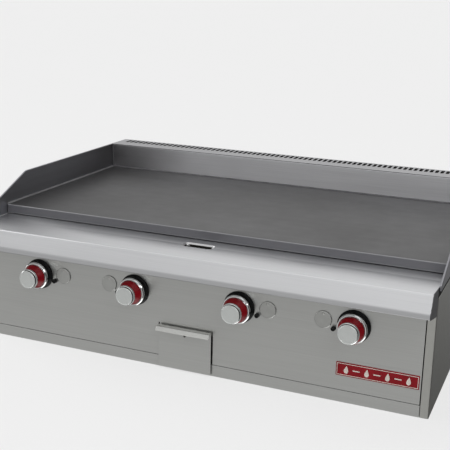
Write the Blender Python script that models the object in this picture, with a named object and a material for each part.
"""Gas flat top griddle, four burners, built as separate sheet-metal, turned and gas pieces.

Metres, +Z up, front of the griddle towards -Y, origin at the centre of the base.
"""
import math

import bmesh
import bpy
from mathutils import Matrix, Vector

# ---- driving dimensions --------------------------------------------------------------------
OVERALL_DEPTH = 0.910            # bullnose to the end of the gas inlet
BULLNOSE_REACH = 0.0824          # bullnose in front of the control panel's plane
FRONT_Y = BULLNOSE_REACH - OVERALL_DEPTH / 2   # plane of the control panel's face
GAP = 0.0003                     # clearance between pieces that touch
SHEET = 0.002                    # body sheet

BODY_HALF_WIDTH = 0.610          # outer face of a side panel
SIDE_HEIGHT = 0.2905
BODY_DEPTH = 0.8075              # control panel's plane to the rear panel's outer face
FLANGE_WIDTH = 0.020
RAIL_HEIGHT = 0.0295             # turned-up front edge of the base pan

PLATE_HALF_WIDTH = 0.6090
PLATE_FRONT = 0.119
PLATE_REAR = 0.7115
PLATE_TOP = 0.336
PLATE_THICK = 0.025

SPLASH_THICK = 0.005
SPLASH_INNER_X = 0.6095
SPLASH_OUTER_X = SPLASH_INNER_X + SPLASH_THICK
SPLASH_BOTTOM = 0.3035            # rear splash
GUARD_FOOT = 0.3085               # side splashes, clear of the side panels' top edges
SPLASH_TOP = 0.413
SPLASH_KINK = 0.216              # where the level top edge starts to slope down
SPLASH_FRONT_TOP = 0.3210        # height of the slope's foot
CAP_DEPTH = 0.810
SLOT_COUNT = 75
SLOT_PITCH = 0.0158
SLOT_WIDTH = 0.0085
SLOT_START = 0.752
SLOT_END = 0.803

DECK_HALF_WIDTH = 0.609
DECK_SHEET = 0.002
DRAIN_HALF_WIDTH = 0.037
DRAIN_FRONT = 0.054
DRAIN_REAR = 0.084

PANEL_HALF_WIDTH = 0.5875
PANEL_TOP = 0.262
OPENING_HALF_WIDTH = 0.0745
OPENING_TOP = 0.1190

DRAWER_FACE_HALF_WIDTH = 0.0719
TRAY_HALF_WIDTH = 0.068
TRAY_BOTTOM = 0.0315
TRAY_TOP = 0.104
TRAY_LENGTH = 0.480
TRAY_SHEET = 0.0015
FACE_BACK = -0.0045               # rear of the drawer's face
PULL_TOP = 0.1165

BURNER_X = (-0.4256, -0.1418, 0.1418, 0.4256)
ADJUSTER_SIDE = (1, -1, 1, -1)   # which side of its knob each pilot adjuster is on
VALVE_Z = 0.194                  # axis of the knobs, valves and burners
COVER_OFFSET = 0.0735            # knob axis to pilot port, along X
COVER_RISE = 0.005
COVER_RADIUS = 0.021
PIVOT_RISE = 0.0155              # cover centre up to its rivet
RIVET_SHANK = 0.0018
PORT_RADIUS = 0.009
PORT_DROP = 0.004                # cover centre down to the port's centre
ADJUSTER_OFFSET = 0.0475
ADJUSTER_DROP = 0.0125
ADJUSTER_RADIUS = 0.0055
ADJUSTER_SHAFT = 0.0024
PILOT_PIPE_OFFSET = ADJUSTER_OFFSET
PILOT_PIPE_RADIUS = 0.003
PILOT_PIPE_Z = 0.208
PILOT_HOLE_RADIUS = 0.006
BELL_HOLE_RADIUS = 0.0225
STEM_RADIUS = 0.004
STEM_BORE = 0.0043
BONNET_RADIUS = 0.011

MANIFOLD_BACK = 0.108
MANIFOLD_Z = 0.150
PIPE_RADIUS = 0.01335
PIPE_BORE = 0.0105
ELBOW_RADIUS = 0.0175
INLET_X = 0.565
SHIELD_BACK = 0.140
BURNER_RADIUS = 0.017
BURNER_END = 0.660
SEAT_CLEARANCE = 0.001
FLOOR_Z = 0.122
BOX_HALF_WIDTH = 0.545


def back(distance):
    """World Y of a point that lies this far behind the control panel's face."""
    return FRONT_Y + distance


# ---- tools ---------------------------------------------------------------------------------
def clear_scene():
    for obj in list(bpy.data.objects):
        bpy.data.objects.remove(obj, do_unlink=True)


def make_material(name, colour, roughness, metallic):
    material = bpy.data.materials.new(name)
    material.use_nodes = True
    shader = material.node_tree.nodes["Principled BSDF"]
    shader.inputs["Base Color"].default_value = (*colour, 1.0)
    shader.inputs["Roughness"].default_value = roughness
    shader.inputs["Metallic"].default_value = metallic
    material.diffuse_color = (*colour, 1.0)
    return material


def add_object(name, mesh_builder, material, location=(0, 0, 0), parent=None, smooth=False):
    """Turn a bmesh into a named object with one material."""
    bmesh.ops.recalc_face_normals(mesh_builder, faces=mesh_builder.faces)
    mesh = bpy.data.meshes.new(name)
    mesh_builder.to_mesh(mesh)
    mesh_builder.free()
    if smooth:
        mesh.shade_smooth()
        mesh.set_sharp_from_angle(angle=math.radians(35))
    obj = bpy.data.objects.new(name, mesh)
    bpy.context.collection.objects.link(obj)
    obj.data.materials.append(material)
    obj.location = location
    obj.parent = parent
    return obj


def add_empty(name, location):
    empty = bpy.data.objects.new(name, None)
    bpy.context.collection.objects.link(empty)
    empty.location = location
    return empty


def box_mesh(low, high, builder=None):
    """A box from its lowest to its highest corner, added to a bmesh."""
    builder = builder or bmesh.new()
    low, high = Vector(low), Vector(high)
    size = high - low
    matrix = Matrix.Translation((low + high) / 2) @ Matrix.Diagonal((*size, 1.0))
    bmesh.ops.create_cube(builder, size=1.0, matrix=matrix)
    return builder


def box(name, low, high, material, parent=None):
    return add_object(name, box_mesh(low, high), material, parent=parent)


def prism_mesh(outline, low, high, axis="X"):
    """Extrude a closed outline along an axis.

    The outline holds (y, z) pairs for X, and (x, z) pairs for Y.
    """
    builder = bmesh.new()
    if axis == "X":
        corners = [builder.verts.new((low, a, b)) for a, b in outline]
        shift = Vector((high - low, 0, 0))
    else:
        corners = [builder.verts.new((a, low, b)) for a, b in outline]
        shift = Vector((0, high - low, 0))
    face = builder.faces.new(corners)
    grown = bmesh.ops.extrude_face_region(builder, geom=[face], use_keep_orig=True)
    moved = [item for item in grown["geom"] if isinstance(item, bmesh.types.BMVert)]
    bmesh.ops.translate(builder, vec=shift, verts=moved)
    return builder


def turned_mesh(profile, segments, closed=False):
    """Spin (radius, y) pairs about the Y axis; a closed profile gives a ring."""
    builder = bmesh.new()
    verts = [builder.verts.new((radius, y, 0)) for radius, y in profile]
    edges = [builder.edges.new(pair) for pair in zip(verts, verts[1:])]
    if closed:
        edges.append(builder.edges.new((verts[-1], verts[0])))
    bmesh.ops.spin(builder, geom=verts + edges, cent=(0, 0, 0), axis=(0, 1, 0),
                   angle=math.tau, steps=segments, use_merge=True)
    bmesh.ops.remove_doubles(builder, verts=builder.verts, dist=1e-6)
    return builder


def folded_outline(centre_line, thickness):
    """Closed outline of a folded sheet: its outer line out, its inner line back."""
    def offset_line(points, distance):
        shifted = []
        for index, point in enumerate(points):
            before = points[index - 1] if index else None
            after = points[index + 1] if index + 1 < len(points) else None
            normals = []
            for start, end in ((before, point), (point, after)):
                if start is not None and end is not None:
                    run = (Vector(end) - Vector(start)).normalized()
                    normals.append(Vector((-run.y, run.x)))
            middle = sum(normals, Vector((0, 0))).normalized()
            reach = distance / middle.dot(normals[0])
            shifted.append(tuple(Vector(point) + middle * reach))
        return shifted

    return list(centre_line) + offset_line(centre_line, thickness)[::-1]


def cutter(name, builder):
    """A hidden helper solid that a Boolean subtracts."""
    bmesh.ops.recalc_face_normals(builder, faces=builder.faces)
    mesh = bpy.data.meshes.new(name)
    builder.to_mesh(mesh)
    builder.free()
    obj = bpy.data.objects.new(name, mesh)
    bpy.context.collection.objects.link(obj)
    obj.hide_render = True
    obj.display_type = "WIRE"
    return obj


def boolean(obj, tool, operation="DIFFERENCE"):
    modifier = obj.modifiers.new(operation.title(), "BOOLEAN")
    modifier.operation = operation
    modifier.solver = "EXACT"
    modifier.object = tool


def add_cylinder(builder, radius, centre, y_low, y_high, segments=20):
    """A cylinder along Y, at centre (x, z)."""
    turn = Matrix.Rotation(math.pi / 2, 4, "X")
    place = Matrix.Translation((centre[0], (y_low + y_high) / 2, centre[1]))
    bmesh.ops.create_cone(builder, cap_ends=True, segments=segments, radius1=radius,
                          radius2=radius, depth=y_high - y_low, matrix=place @ turn)


# ---- body ----------------------------------------------------------------------------------
def build_side_panels(steel):
    """Folded side sheets with a return flange at the front and at the rear."""
    rear = back(BODY_DEPTH - SHEET - GAP)
    for name, side in (("left_side_panel", -1), ("right_side_panel", 1)):
        outer = side * BODY_HALF_WIDTH
        inner = side * (BODY_HALF_WIDTH - SHEET)
        lip = side * (BODY_HALF_WIDTH - FLANGE_WIDTH)
        plan = [(outer, back(0)), (outer, rear), (lip, rear), (lip, rear - SHEET),
                (inner, rear - SHEET), (inner, back(SHEET)), (lip, back(SHEET)), (lip, back(0))]
        builder = bmesh.new()
        face = builder.faces.new([builder.verts.new((x, y, 0)) for x, y in plan])
        grown = bmesh.ops.extrude_face_region(builder, geom=[face], use_keep_orig=True)
        moved = [item for item in grown["geom"] if isinstance(item, bmesh.types.BMVert)]
        bmesh.ops.translate(builder, vec=(0, 0, SIDE_HEIGHT), verts=moved)
        add_object(name, builder, steel)


def build_base_pan(steel):
    """Floor sheet whose narrower front edge turns up under the control panel."""
    clear = 0.0015
    rail_half = BODY_HALF_WIDTH - FLANGE_WIDTH - clear
    floor_half = BODY_HALF_WIDTH - SHEET - GAP
    behind_flange = SHEET + GAP
    rear = back(BODY_DEPTH - 2 * SHEET - 3 * GAP)
    outline = [(back(0), 0), (rear, 0), (rear, SHEET), (back(SHEET), SHEET),
               (back(SHEET), RAIL_HEIGHT), (back(0), RAIL_HEIGHT)]
    pan = add_object("base_pan", prism_mesh(outline, -rail_half, rail_half), steel)
    wings = box_mesh((-floor_half, back(behind_flange), 0), (floor_half, rear, SHEET))
    wing_tool = cutter("wing_tool", wings)
    boolean(pan, wing_tool, "UNION")


def build_rear_panel(steel):
    top = SPLASH_TOP - SHEET - GAP
    box("rear_panel", (-BODY_HALF_WIDTH, back(BODY_DEPTH - SHEET), 0),
        (BODY_HALF_WIDTH, back(BODY_DEPTH), top), steel)
    hole = bmesh.new()
    add_cylinder(hole, PIPE_RADIUS + 0.001, (INLET_X, MANIFOLD_Z), back(BODY_DEPTH - 0.02),
                 back(BODY_DEPTH + 0.02), 24)
    boolean(bpy.data.objects["rear_panel"], cutter("inlet_hole", hole))


def build_control_panel(steel):
    """Face sheet with the drawer's opening and the holes for stems, ports and adjusters."""
    low = RAIL_HEIGHT + 0.0015
    outline = [(-PANEL_HALF_WIDTH, low), (-OPENING_HALF_WIDTH, low),
               (-OPENING_HALF_WIDTH, OPENING_TOP), (OPENING_HALF_WIDTH, OPENING_TOP),
               (OPENING_HALF_WIDTH, low), (PANEL_HALF_WIDTH, low),
               (PANEL_HALF_WIDTH, PANEL_TOP), (-PANEL_HALF_WIDTH, PANEL_TOP)]
    panel = add_object("control_panel", prism_mesh(outline, back(0), back(SHEET), "Y"), steel)
    holes = bmesh.new()
    reach = (back(-0.01), back(0.01))
    for burner_x, side in zip(BURNER_X, ADJUSTER_SIDE):
        port_x = burner_x + side * COVER_OFFSET
        port_z = VALVE_Z + COVER_RISE - PORT_DROP
        rivet_z = VALVE_Z + COVER_RISE + PIVOT_RISE
        adjuster = (burner_x + side * ADJUSTER_OFFSET, VALVE_Z - ADJUSTER_DROP)
        add_cylinder(holes, BONNET_RADIUS + 0.001, (burner_x, VALVE_Z), *reach, 16)
        add_cylinder(holes, PORT_RADIUS, (port_x, port_z), *reach, 16)
        add_cylinder(holes, ADJUSTER_SHAFT + GAP, adjuster, *reach, 10)
        add_cylinder(holes, RIVET_SHANK + GAP, (port_x, rivet_z), *reach, 10)
    boolean(panel, cutter("panel_holes", holes))


def build_deck(steel):
    """Bullnose and deck in one folded sheet, with welded end plates and the drain slot."""
    face_foot = (-BULLNOSE_REACH, 0.2806)
    outer = [(-0.0060, 0.2674), (-BULLNOSE_REACH, 0.2674), face_foot, (-0.0600, 0.3203),
             (0.0690, 0.3092), (0.1500, 0.3104)]
    line = [(back(y), z) for y, z in outer]
    outline = folded_outline(line, -DECK_SHEET)
    deck_sheet = prism_mesh(outline, -DECK_HALF_WIDTH, DECK_HALF_WIDTH)
    deck = add_object("grease_trough", deck_sheet, steel)
    end_outline = [(back(-0.0015), 0.2480), (back(-BULLNOSE_REACH + 0.0010), 0.2684),
                   (back(-BULLNOSE_REACH + 0.0010), 0.2808), (back(-0.0594), 0.3190),
                   (back(-0.0015), 0.3141)]
    for side in (-1, 1):
        inner = side * (DECK_HALF_WIDTH - 0.0050)
        outer_x = side * (DECK_HALF_WIDTH - 0.0025)
        ends = cutter(f"deck_end_tool_{side + 1}", prism_mesh(end_outline, inner, outer_x))
        boolean(deck, ends, "UNION")
    slot = box_mesh((-DRAIN_HALF_WIDTH, back(DRAIN_FRONT), 0.29),
                    (DRAIN_HALF_WIDTH, back(DRAIN_REAR), 0.33))
    boolean(deck, cutter("drain_slot_tool", slot))


def build_chute(steel):
    """Open rectangular spout from the drain slot down to the drawer."""
    wall = 0.0015
    top, bottom = 0.3060, 0.1180
    chute = box("grease_chute",
                (-DRAIN_HALF_WIDTH - wall, back(DRAIN_FRONT - wall), bottom),
                (DRAIN_HALF_WIDTH + wall, back(DRAIN_REAR + wall), top), steel)
    bore = box_mesh((-DRAIN_HALF_WIDTH, back(DRAIN_FRONT), bottom - 0.01),
                    (DRAIN_HALF_WIDTH, back(DRAIN_REAR), top + 0.01))
    boolean(chute, cutter("chute_bore", bore))


# ---- cooking surface -----------------------------------------------------------------------
def build_plate(plate_steel):
    plate = box("griddle_plate", (-PLATE_HALF_WIDTH, back(PLATE_FRONT), PLATE_TOP - PLATE_THICK),
                (PLATE_HALF_WIDTH, back(PLATE_REAR), PLATE_TOP), plate_steel)
    bevel = plate.modifiers.new("Bevel", "BEVEL")
    bevel.width = 0.0015
    bevel.segments = 1
    bevel.limit_method = "ANGLE"


def build_splashes(steel):
    rear_inner = PLATE_REAR + 0.0005
    outline = [(back(0), GUARD_FOOT), (back(rear_inner - GAP), GUARD_FOOT),
               (back(rear_inner - GAP), SPLASH_TOP), (back(SPLASH_KINK), SPLASH_TOP),
               (back(0), SPLASH_FRONT_TOP)]
    for name, side in (("left_splash", -1), ("right_splash", 1)):
        low, high = sorted((side * SPLASH_INNER_X, side * SPLASH_OUTER_X))
        add_object(name, prism_mesh(outline, low, high), steel)
    box("rear_splash", (-SPLASH_OUTER_X, back(rear_inner), SPLASH_BOTTOM),
        (SPLASH_OUTER_X, back(rear_inner + SPLASH_THICK), SPLASH_TOP - SHEET - GAP), steel)


def build_flue_cap(steel):
    """Slotted cap over the flue, with its rear lip and its two ends folded down."""
    front = back(PLATE_REAR + 0.0005)
    rear = back(CAP_DEPTH)
    behind_splash = back(PLATE_REAR + 0.0005 + SPLASH_THICK + GAP)
    low = SIDE_HEIGHT + GAP
    outline = [(front, SPLASH_TOP - SHEET), (rear - SHEET, SPLASH_TOP - SHEET),
               (rear - SHEET, SPLASH_TOP - 0.014), (rear, SPLASH_TOP - 0.014),
               (rear, SPLASH_TOP), (front, SPLASH_TOP)]
    cap = add_object("flue_vent_cap", prism_mesh(outline, -SPLASH_OUTER_X, SPLASH_OUTER_X), steel)
    for side in (-1, 1):
        near, far = sorted((side * (SPLASH_OUTER_X - SHEET), side * SPLASH_OUTER_X))
        end = box_mesh((near, behind_splash, low), (far, rear - 0.0001, SPLASH_TOP - 0.0005))
        boolean(cap, cutter(f"cap_end_tool_{side + 1}", end), "UNION")
    slots = bmesh.new()
    first = -(SLOT_COUNT - 1) / 2 * SLOT_PITCH
    for index in range(SLOT_COUNT):
        x = first + index * SLOT_PITCH
        box_mesh((x - SLOT_WIDTH / 2, back(SLOT_START), SPLASH_TOP - 0.01),
                 (x + SLOT_WIDTH / 2, back(SLOT_END), SPLASH_TOP + 0.01), slots)
    boolean(cap, cutter("cap_slots", slots))


def build_plate_rails(steel):
    """Bars between the side panels' top edges and the plate; the front foot carries the deck."""
    plate_foot = PLATE_TOP - PLATE_THICK - GAP
    deck_foot = 0.3066
    outline = [(back(0.0040), SIDE_HEIGHT + GAP), (back(0.7100), SIDE_HEIGHT + GAP),
               (back(0.7100), plate_foot), (back(0.1520), plate_foot),
               (back(0.1520), deck_foot), (back(0.0040), deck_foot)]
    for name, side in (("left_plate_rail", -1), ("right_plate_rail", 1)):
        low, high = sorted((side * 0.578, side * 0.6085))
        add_object(name, prism_mesh(outline, low, high), steel)


# ---- grease drawer -------------------------------------------------------------------------
def build_drawer(steel):
    """Tray and bent front, parented to an empty on the slide's line."""
    slide = add_empty("drawer_slide", (0, back(0), TRAY_BOTTOM))
    start = FACE_BACK + GAP
    outer = box_mesh((-TRAY_HALF_WIDTH, start, 0),
                     (TRAY_HALF_WIDTH, start + TRAY_LENGTH, TRAY_TOP - TRAY_BOTTOM))
    tray = add_object("grease_drawer", outer, steel, parent=slide)
    hollow = box_mesh((-TRAY_HALF_WIDTH + TRAY_SHEET, start + TRAY_SHEET, TRAY_SHEET),
                      (TRAY_HALF_WIDTH - TRAY_SHEET, start + TRAY_LENGTH - TRAY_SHEET, 0.2))
    tool = cutter("tray_hollow", hollow)
    tool.parent = slide
    boolean(tray, tool)

    # the face rises in front of the base pan's edge and folds out into the pull lip
    line = [(FACE_BACK, 0.0030), (FACE_BACK, PULL_TOP), (-0.0180, PULL_TOP), (-0.0262, 0.1055)]
    line = [(y, z - TRAY_BOTTOM) for y, z in line]
    outline = folded_outline(line, 0.0015)
    face = prism_mesh(outline, -DRAWER_FACE_HALF_WIDTH, DRAWER_FACE_HALF_WIDTH)
    add_object("drawer_front", face, steel, parent=slide)


def build_drawer_runners(steel):
    """T-shaped runners that stand on the base pan, one under each side of the tray."""
    foot = SHEET + GAP
    shelf = TRAY_BOTTOM - GAP
    for name, side in (("left_drawer_runner", -1), ("right_drawer_runner", 1)):
        outline = [(0.0700, foot), (0.0720, foot), (0.0720, 0.0500), (0.0700, 0.0500),
                   (0.0700, shelf), (0.0520, shelf), (0.0520, shelf - SHEET), (0.0700, shelf - SHEET)]
        outline = [(side * x, z) for x, z in outline]
        add_object(name, prism_mesh(outline, back(0.0060), back(0.5000), "Y"), steel)


# ---- knobs, valves, pilots -----------------------------------------------------------------
KNOB_SEGMENTS = 20
KNOB_PROFILE = [(0, -0.0585), (0.0238, -0.0585), (0.0260, -0.0568), (0.0260, -0.0535),
                (0.0238, -0.0520), (0.0238, -0.0497), (0.0257, -0.0482), (0.0257, -0.0452),
                (0.0210, -0.0430), (0.0200, -0.0352), (0.0306, -0.0226), (0.0338, -0.0226),
                (0.0362, -0.0200), (0.0362, -0.0160), (0.0340, -0.0130), (STEM_BORE, -0.0130),
                (STEM_BORE, -0.0452), (0, -0.0452)]
RING_PROFILE = [(0.0206, -0.0382), (0.0308, -0.0256), (0.0308, -0.0233), (0.0206, -0.0354)]
BEZEL_PROFILE = [(0.0135, -GAP), (0.0400, -GAP), (0.0400, -0.0030), (0.0372, -0.0054),
                 (0.0360, -0.0120), (0.0344, -0.0120), (0.0338, -0.0050), (0.0200, -0.0030),
                 (0.0135, -0.0030)]


def build_knob(number, x, chrome, enamel, plastic, brass):
    """Knob, red ring, stem and fixed bezel of one burner."""
    axis = add_empty(f"knob_axis_{number}", (x, back(0), VALVE_Z))
    knob = turned_mesh(KNOB_PROFILE, KNOB_SEGMENTS)
    ring = turned_mesh(RING_PROFILE, KNOB_SEGMENTS, closed=True)
    bezel = turned_mesh(BEZEL_PROFILE, KNOB_SEGMENTS, closed=True)
    stem_ends = (-0.0449, 0.0500)
    stem = turned_mesh([(0, stem_ends[0]), (STEM_RADIUS, stem_ends[0]),
                        (STEM_RADIUS, stem_ends[1]), (0, stem_ends[1])], 10)
    add_object(f"knob_{number}", knob, chrome, parent=axis, smooth=True)
    add_object(f"knob_ring_{number}", ring, enamel, parent=axis, smooth=True)
    add_object(f"valve_stem_{number}", stem, brass, parent=axis, smooth=True)
    add_object(f"knob_bezel_{number}", bezel, plastic, location=(x, back(0), VALVE_Z), smooth=True)


def build_valve(number, x, brass):
    """Valve block with a bonnet round the stem, an inlet neck and an orifice spud."""
    valve = box(f"gas_valve_{number}", (x - 0.014, back(0.0300), VALVE_Z - 0.015),
                (x + 0.014, back(0.1220), VALVE_Z + 0.014), brass)
    extras = bmesh.new()
    add_cylinder(extras, BONNET_RADIUS, (x, VALVE_Z), back(0.0040), back(0.0320), 16)
    boolean(valve, cutter(f"bonnet_{number}", extras), "UNION")
    spud = bmesh.new()
    add_cylinder(spud, 0.0055, (x, VALVE_Z), back(0.1200), back(0.1340), 12)
    boolean(valve, cutter(f"spud_{number}", spud), "UNION")
    neck_top, neck_foot = VALVE_Z - 0.013, MANIFOLD_Z + PIPE_RADIUS + GAP
    neck = bmesh.new()
    place = Matrix.Translation((x, back(MANIFOLD_BACK), (neck_top + neck_foot) / 2))
    bmesh.ops.create_cone(neck, cap_ends=True, segments=12, radius1=0.008, radius2=0.008,
                          depth=neck_top - neck_foot, matrix=place)
    boolean(valve, cutter(f"neck_{number}", neck), "UNION")
    bore = bmesh.new()
    add_cylinder(bore, STEM_BORE, (x, VALVE_Z), back(-0.01), back(0.0504), 10)
    boolean(valve, cutter(f"stem_bore_{number}", bore))


def build_burner(number, x, iron):
    """Tube burner, open at its mixing bell and closed at the far end."""
    wall = 0.0015
    outside = [(0.0210, SHIELD_BACK - 0.0030), (0.0205, 0.1500), (0.0125, 0.1720),
               (BURNER_RADIUS, 0.2150), (BURNER_RADIUS, BURNER_END)]
    inside = [(radius - wall, y) for radius, y in outside]
    inside[-1] = (BURNER_RADIUS - wall, BURNER_END - wall)
    profile = [(0, BURNER_END)] + outside[::-1] + inside + [(0, BURNER_END - wall)]
    add_object(f"burner_tube_{number}", turned_mesh(profile, 12), iron,
               location=(x, back(0), VALVE_Z), smooth=True)


def build_pilot(number, x, side, brass):
    """Bent pilot pipe from beside the valve up to the burner's flame ports."""
    curve = bpy.data.curves.new(f"pilot_burner_{number}", "CURVE")
    curve.dimensions = "3D"
    curve.bevel_depth = PILOT_PIPE_RADIUS
    curve.bevel_resolution = 1
    curve.use_fill_caps = True
    pipe_x = x + side * PILOT_PIPE_OFFSET
    points = [(pipe_x, back(MANIFOLD_BACK), MANIFOLD_Z + PIPE_RADIUS + GAP),
              (pipe_x, back(MANIFOLD_BACK), PILOT_PIPE_Z - 0.018),
              (pipe_x, back(MANIFOLD_BACK + 0.005), PILOT_PIPE_Z - 0.005),
              (pipe_x, back(MANIFOLD_BACK + 0.018), PILOT_PIPE_Z),
              (pipe_x - side * 0.006, back(0.190), PILOT_PIPE_Z),
              (pipe_x - side * 0.014, back(0.205), PILOT_PIPE_Z + 0.004),
              (pipe_x - side * 0.018, back(0.210), PILOT_PIPE_Z + 0.016)]
    spline = curve.splines.new("POLY")
    spline.points.add(len(points) - 1)
    for point, place in zip(spline.points, points):
        point.co = (*place, 1.0)
    curve.materials.append(brass)
    obj = bpy.data.objects.new(f"pilot_burner_{number}", curve)
    bpy.context.collection.objects.link(obj)


def build_pilot_cover(number, x, side, steel):
    """Round cover that hangs from a rivet; its parent empty sits on the rivet's axis."""
    pivot = add_empty(f"cover_pivot_{number}",
                      (x + side * COVER_OFFSET, back(0), VALVE_Z + COVER_RISE + PIVOT_RISE))
    disc = bmesh.new()
    add_cylinder(disc, COVER_RADIUS, (0, -PIVOT_RISE), -0.0032, -0.0015, 24)
    cover = add_object(f"pilot_cover_{number}", disc, steel, parent=pivot, smooth=True)
    rivet = [(0, -0.0052), (0.0024, -0.0050), (0.0038, -0.0038), (0.0038, -0.0022),
             (RIVET_SHANK, -0.0022), (RIVET_SHANK, 0.0040), (0, 0.0040)]
    rivet_tool = cutter(f"rivet_tool_{number}", turned_mesh(rivet, 10))
    rivet_tool.parent = pivot
    boolean(cover, rivet_tool, "UNION")


def build_adjuster(number, x, side, plastic):
    """Screw with a driver slot; its shaft reaches the pilot's pipe and sets the gas."""
    axis = add_empty(f"adjuster_axis_{number}",
                     (x + side * ADJUSTER_OFFSET, back(0), VALVE_Z - ADJUSTER_DROP))
    radius = ADJUSTER_RADIUS
    shaft_end = MANIFOLD_BACK - PILOT_PIPE_RADIUS - GAP
    profile = [(0, -0.0090), (radius - 0.0010, -0.0090), (radius, -0.0080), (radius, -GAP * 2),
               (ADJUSTER_SHAFT, -GAP * 2), (ADJUSTER_SHAFT, shaft_end), (0, shaft_end)]
    screw = add_object(f"pilot_adjuster_{number}", turned_mesh(profile, 12), plastic, parent=axis,
                       smooth=True)
    slot = cutter(f"driver_slot_{number}", box_mesh((-0.02, -0.02, -0.0006), (0.02, -0.0078, 0.0006)))
    slot.parent = axis
    boolean(screw, slot)


# ---- gas line and burner box ---------------------------------------------------------------
def build_gas_line(iron):
    """Manifold along the front, and the pipe with its elbow that feeds it from the rear."""
    low_x, high_x = -0.500, INLET_X - 0.024
    tube = bmesh.new()
    place = Matrix.Translation(((low_x + high_x) / 2, back(MANIFOLD_BACK), MANIFOLD_Z))
    turn = Matrix.Rotation(math.pi / 2, 4, "Y")
    bmesh.ops.create_cone(tube, cap_ends=True, segments=16, radius1=PIPE_RADIUS,
                          radius2=PIPE_RADIUS, depth=high_x - low_x, matrix=place @ turn)
    add_object("manifold_pipe", tube, iron, smooth=True)

    end = OVERALL_DEPTH - BULLNOSE_REACH
    elbow_front, elbow_rear = MANIFOLD_BACK - 0.018, MANIFOLD_BACK + 0.012
    bore_end = MANIFOLD_BACK + 0.002
    profile = [(PIPE_BORE, end), (PIPE_RADIUS, end), (PIPE_RADIUS, elbow_rear),
               (ELBOW_RADIUS, elbow_rear), (ELBOW_RADIUS, elbow_front), (0, elbow_front),
               (0, bore_end), (PIPE_BORE, bore_end)]
    pipe = add_object("gas_inlet_pipe", turned_mesh(profile, 20, closed=True), iron,
                      location=(INLET_X, back(0), MANIFOLD_Z), smooth=True)
    socket = bmesh.new()
    place = Matrix.Translation((INLET_X - 0.0115, back(MANIFOLD_BACK), MANIFOLD_Z))
    bmesh.ops.create_cone(socket, cap_ends=True, segments=16, radius1=0.0172, radius2=0.0172,
                          depth=0.0230 - 2 * GAP, matrix=place @ turn)
    boolean(pipe, cutter("elbow_socket", socket), "UNION")


def build_heat_shield(steel):
    """Upright sheet between the valves and the fire, with a hole for each burner and pilot."""
    shield = box("heat_shield", (-BOX_HALF_WIDTH, back(SHIELD_BACK), FLOOR_Z + SHEET + GAP),
                 (BOX_HALF_WIDTH, back(SHIELD_BACK + SHEET), 0.3000), steel)
    holes = bmesh.new()
    reach = (back(SHIELD_BACK - 0.01), back(SHIELD_BACK + 0.01))
    for x, side in zip(BURNER_X, ADJUSTER_SIDE):
        add_cylinder(holes, BELL_HOLE_RADIUS, (x, VALVE_Z), *reach, 14)
        add_cylinder(holes, PILOT_HOLE_RADIUS, (x + side * PILOT_PIPE_OFFSET, PILOT_PIPE_Z), *reach, 10)
    boolean(shield, cutter("shield_holes", holes))


def build_burner_box(steel):
    box("burner_box_floor", (-BOX_HALF_WIDTH, back(SHIELD_BACK), FLOOR_Z),
        (BOX_HALF_WIDTH, back(0.7000), FLOOR_Z + SHEET), steel)
    low = FLOOR_Z + SHEET + GAP
    front, rear = back(BURNER_END - 0.030), back(BURNER_END - 0.027)
    rest = box("burner_rest", (-BOX_HALF_WIDTH, front, low), (BOX_HALF_WIDTH, rear, VALVE_Z + 0.004),
               steel)
    seats = bmesh.new()
    for x in BURNER_X:
        add_cylinder(seats, BURNER_RADIUS + SEAT_CLEARANCE, (x, VALVE_Z), front - 0.01, rear + 0.01, 12)
    boolean(rest, cutter("burner_seats", seats))


def build_badge(enamel):
    box("badge_plate", (0.3892, back(-0.0018), 0.0680), (0.5840, back(-GAP), 0.1015), enamel)


# ---- assembly ------------------------------------------------------------------------------
def main():
    clear_scene()
    steel = make_material("stainless_steel", (0.55, 0.55, 0.54), 0.35, 1.0)
    plate_steel = make_material("griddle_steel", (0.11, 0.11, 0.11), 0.5, 0.8)
    chrome = make_material("satin_chrome", (0.72, 0.74, 0.73), 0.2, 1.0)
    red = make_material("red_enamel", (0.42, 0.01, 0.02), 0.25, 0.0)
    black = make_material("black_plastic", (0.01, 0.01, 0.01), 0.45, 0.0)
    brass = make_material("brass", (0.60, 0.42, 0.16), 0.35, 1.0)
    iron = make_material("black_iron", (0.06, 0.06, 0.06), 0.6, 0.6)
    coated = make_material("aluminised_steel", (0.30, 0.30, 0.30), 0.55, 1.0)

    build_side_panels(steel)
    build_base_pan(steel)
    build_rear_panel(steel)
    build_control_panel(steel)
    build_deck(steel)
    build_chute(steel)
    build_plate(plate_steel)
    build_splashes(steel)
    build_flue_cap(steel)
    build_plate_rails(coated)
    build_drawer(steel)
    build_drawer_runners(coated)
    build_gas_line(iron)
    build_heat_shield(coated)
    build_burner_box(coated)
    build_badge(red)
    for number, (x, side) in enumerate(zip(BURNER_X, ADJUSTER_SIDE), start=1):
        build_knob(number, x, chrome, red, black, brass)
        build_valve(number, x, brass)
        build_burner(number, x, iron)
        build_pilot(number, x, side, brass)
        build_pilot_cover(number, x, side, steel)
        build_adjuster(number, x, side, black)


main()
